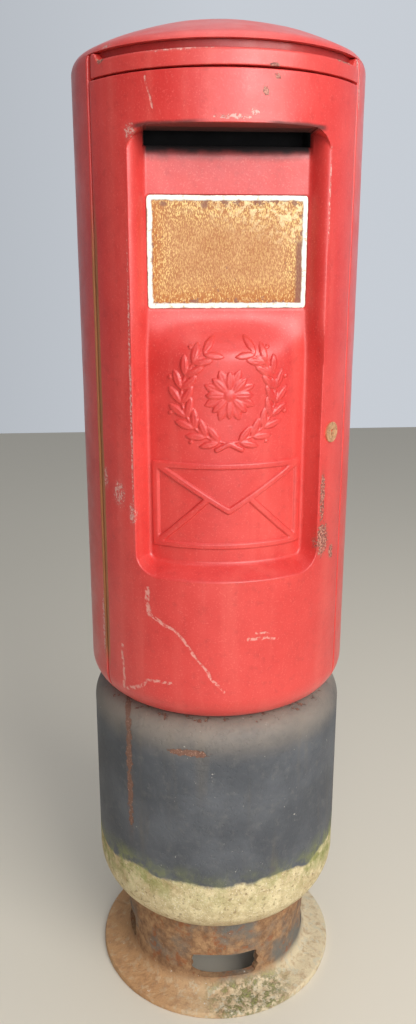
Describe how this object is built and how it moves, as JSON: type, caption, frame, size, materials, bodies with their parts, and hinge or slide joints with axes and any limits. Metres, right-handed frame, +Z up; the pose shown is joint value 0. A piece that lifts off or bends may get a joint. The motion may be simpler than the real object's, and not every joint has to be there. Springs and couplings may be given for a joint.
{
  "type": "post box",
  "caption": "Round cast-iron pillar box with a flush hinged door, recessed face, letter slot, domed roof and a hollow plinth on a ground flange.",
  "frame": {"origin": "on the ground, at the centre of the underside of the flange", "axes": "+Z up along the cylinder's axis, -Y towards the front of the door, +X towards the lock side"},
  "size_m": [0.4829, 0.483, 1.768],
  "materials": {
    "red_paint": "weathered gloss paint on cast iron",
    "plinth_paint": "worn black paint on cast iron, bare and stained below",
    "bare_iron": "rough",
    "galvanised_wire": "galvanised",
    "zinc_sheet": "dull zinc",
    "enamel": "worn enamel over rust",
    "lock_brass": "tarnished",
    "steel_rod": "bright drawn",
    "fastener_steel": "rusty"
  },
  "bodies": {
    "carcass": {"base_casting": "plinth_paint", "base_bolts": "fastener_steel", "body_shell": "red_paint", "roof": "red_paint", "roof_bolts": "fastener_steel", "head_band": "red_paint", "head_screws": "fastener_steel", "hinge_brackets": "bare_iron", "hinge_pins": "steel_rod", "hinge_screws": "fastener_steel", "lock_keep": "bare_iron", "keep_screws": "fastener_steel", "floor_plate": "zinc_sheet", "cage_hoops": "galvanised_wire", "cage_bars": "galvanised_wire", "cage_brackets": "bare_iron", "board_brackets": "bare_iron", "board_rod": "steel_rod"},
    "door_leaf": {"door": "red_paint", "notice_plate": "enamel", "plate_studs": "fastener_steel", "letter_chute": "zinc_sheet", "chute_screws": "fastener_steel", "lock_case": "lock_brass", "lock_screws": "fastener_steel", "lock_nose": "lock_brass"},
    "key_core": {"key_barrel": "lock_brass"},
    "bolt": {"lock_bolt": "steel_rod"},
    "board": {"letter_board": "zinc_sheet"}
  },
  "joints": [
    {"name": "door_swing", "type": "hinge", "parent": "carcass", "child": "door_leaf", "pos_m": [-0.19867, -0.12174, 1.1], "axis": [0, 0, -1], "range_deg": [0, 95]},
    {"name": "key_turn", "type": "hinge", "parent": "door_leaf", "child": "key_core", "pos_m": [0.14508, -0.13767, 1.129], "axis": [-0.7254, 0.6884, 0], "range_deg": [0, 90]},
    {"name": "bolt_throw", "type": "slide", "parent": "door_leaf", "child": "bolt", "axis": [0.6884, 0.7254, 0], "range_m": [0, 0.01414]},
    {"name": "board_drop", "type": "hinge", "parent": "carcass", "child": "board", "pos_m": [0, -0.11, 0.656], "axis": [1, 0, 0], "range_deg": [0, 80]}
  ],
  "couplings": [
    {"joint": "key_turn", "follows": "bolt_throw", "rad_per_m": 111.07}
  ]
}
